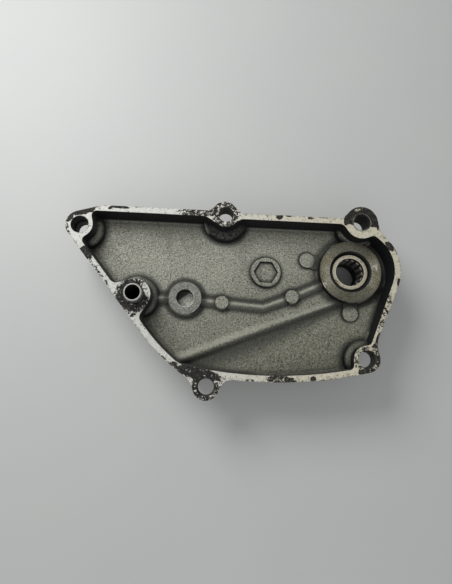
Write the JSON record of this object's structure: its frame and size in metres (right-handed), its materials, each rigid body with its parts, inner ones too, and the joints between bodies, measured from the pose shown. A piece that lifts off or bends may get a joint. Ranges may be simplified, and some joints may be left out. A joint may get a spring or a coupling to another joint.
{
  "type": "gearbox cover",
  "caption": "Die-cast gearbox cover with a flat joint face, a ribbed pocket, screw ears, a hollow dowel, and a needle bearing with an oil seal in its hub.",
  "frame": {"origin": "mouth of the top left dowel hole, on the joint face", "axes": "+X along the top edge towards the bearing, +Z out of the joint face, towards the gearbox"},
  "size_m": [0.1521, 0.09, 0.0318],
  "materials": {
    "cast_aluminium": "as cast, matt and finely speckled; machined and stained on the joint face",
    "dowel_steel": "satin",
    "bearing_steel": "satin",
    "cage_steel": "matt",
    "seal_steel": "matt",
    "seal_rubber": "matt",
    "spring_steel": "satin",
    "needle_steel": "ground"
  },
  "bodies": {
    "cover": {"cover": "cast_aluminium", "dowel_sleeve": "dowel_steel", "bearing_cup": "bearing_steel", "seal_case": "seal_steel", "seal_rubber": "seal_rubber", "garter_spring": "spring_steel"},
    "cage": {"bearing_cage": "cage_steel"},
    "needle_01": {"needle_01": "needle_steel"},
    "needle_02": {"needle_02": "needle_steel"},
    "needle_03": {"needle_03": "needle_steel"},
    "needle_04": {"needle_04": "needle_steel"},
    "needle_05": {"needle_05": "needle_steel"},
    "needle_06": {"needle_06": "needle_steel"},
    "needle_07": {"needle_07": "needle_steel"},
    "needle_08": {"needle_08": "needle_steel"},
    "needle_09": {"needle_09": "needle_steel"},
    "needle_10": {"needle_10": "needle_steel"},
    "needle_11": {"needle_11": "needle_steel"},
    "needle_12": {"needle_12": "needle_steel"},
    "needle_13": {"needle_13": "needle_steel"},
    "needle_14": {"needle_14": "needle_steel"},
    "needle_15": {"needle_15": "needle_steel"}
  },
  "joints": [
    {"name": "cage_spin", "type": "hinge", "parent": "cover", "child": "cage", "pos_m": [0.125, -0.0144, -0.0142], "axis": [0, 0, 1], "continuous": true},
    {"name": "needle_01_spin", "type": "hinge", "parent": "cage", "child": "needle_01", "pos_m": [0.13139, -0.01155, -0.0142], "axis": [0, 0, 1], "continuous": true},
    {"name": "needle_02_spin", "type": "hinge", "parent": "cage", "child": "needle_02", "pos_m": [0.12968, -0.0092, -0.0142], "axis": [0, 0, 1], "continuous": true},
    {"name": "needle_03_spin", "type": "hinge", "parent": "cage", "child": "needle_03", "pos_m": [0.12716, -0.00774, -0.0142], "axis": [0, 0, 1], "continuous": true},
    {"name": "needle_04_spin", "type": "hinge", "parent": "cage", "child": "needle_04", "pos_m": [0.12427, -0.00744, -0.0142], "axis": [0, 0, 1], "continuous": true},
    {"name": "needle_05_spin", "type": "hinge", "parent": "cage", "child": "needle_05", "pos_m": [0.1215, -0.00834, -0.0142], "axis": [0, 0, 1], "continuous": true},
    {"name": "needle_06_spin", "type": "hinge", "parent": "cage", "child": "needle_06", "pos_m": [0.11934, -0.01029, -0.0142], "axis": [0, 0, 1], "continuous": true},
    {"name": "needle_07_spin", "type": "hinge", "parent": "cage", "child": "needle_07", "pos_m": [0.11815, -0.01294, -0.0142], "axis": [0, 0, 1], "continuous": true},
    {"name": "needle_08_spin", "type": "hinge", "parent": "cage", "child": "needle_08", "pos_m": [0.11815, -0.01586, -0.0142], "axis": [0, 0, 1], "continuous": true},
    {"name": "needle_09_spin", "type": "hinge", "parent": "cage", "child": "needle_09", "pos_m": [0.11934, -0.01851, -0.0142], "axis": [0, 0, 1], "continuous": true},
    {"name": "needle_10_spin", "type": "hinge", "parent": "cage", "child": "needle_10", "pos_m": [0.1215, -0.02046, -0.0142], "axis": [0, 0, 1], "continuous": true},
    {"name": "needle_11_spin", "type": "hinge", "parent": "cage", "child": "needle_11", "pos_m": [0.12427, -0.02136, -0.0142], "axis": [0, 0, 1], "continuous": true},
    {"name": "needle_12_spin", "type": "hinge", "parent": "cage", "child": "needle_12", "pos_m": [0.12716, -0.02106, -0.0142], "axis": [0, 0, 1], "continuous": true},
    {"name": "needle_13_spin", "type": "hinge", "parent": "cage", "child": "needle_13", "pos_m": [0.12968, -0.0196, -0.0142], "axis": [0, 0, 1], "continuous": true},
    {"name": "needle_14_spin", "type": "hinge", "parent": "cage", "child": "needle_14", "pos_m": [0.13139, -0.01725, -0.0142], "axis": [0, 0, 1], "continuous": true},
    {"name": "needle_15_spin", "type": "hinge", "parent": "cage", "child": "needle_15", "pos_m": [0.132, -0.0144, -0.0142], "axis": [0, 0, 1], "continuous": true}
  ],
  "couplings": [
    {"joint": "needle_01_spin", "follows": "cage_spin", "ratio": -8},
    {"joint": "needle_02_spin", "follows": "cage_spin", "ratio": -8},
    {"joint": "needle_03_spin", "follows": "cage_spin", "ratio": -8},
    {"joint": "needle_04_spin", "follows": "cage_spin", "ratio": -8},
    {"joint": "needle_05_spin", "follows": "cage_spin", "ratio": -8},
    {"joint": "needle_06_spin", "follows": "cage_spin", "ratio": -8},
    {"joint": "needle_07_spin", "follows": "cage_spin", "ratio": -8},
    {"joint": "needle_08_spin", "follows": "cage_spin", "ratio": -8},
    {"joint": "needle_09_spin", "follows": "cage_spin", "ratio": -8},
    {"joint": "needle_10_spin", "follows": "cage_spin", "ratio": -8},
    {"joint": "needle_11_spin", "follows": "cage_spin", "ratio": -8},
    {"joint": "needle_12_spin", "follows": "cage_spin", "ratio": -8},
    {"joint": "needle_13_spin", "follows": "cage_spin", "ratio": -8},
    {"joint": "needle_14_spin", "follows": "cage_spin", "ratio": -8},
    {"joint": "needle_15_spin", "follows": "cage_spin", "ratio": -8}
  ]
}
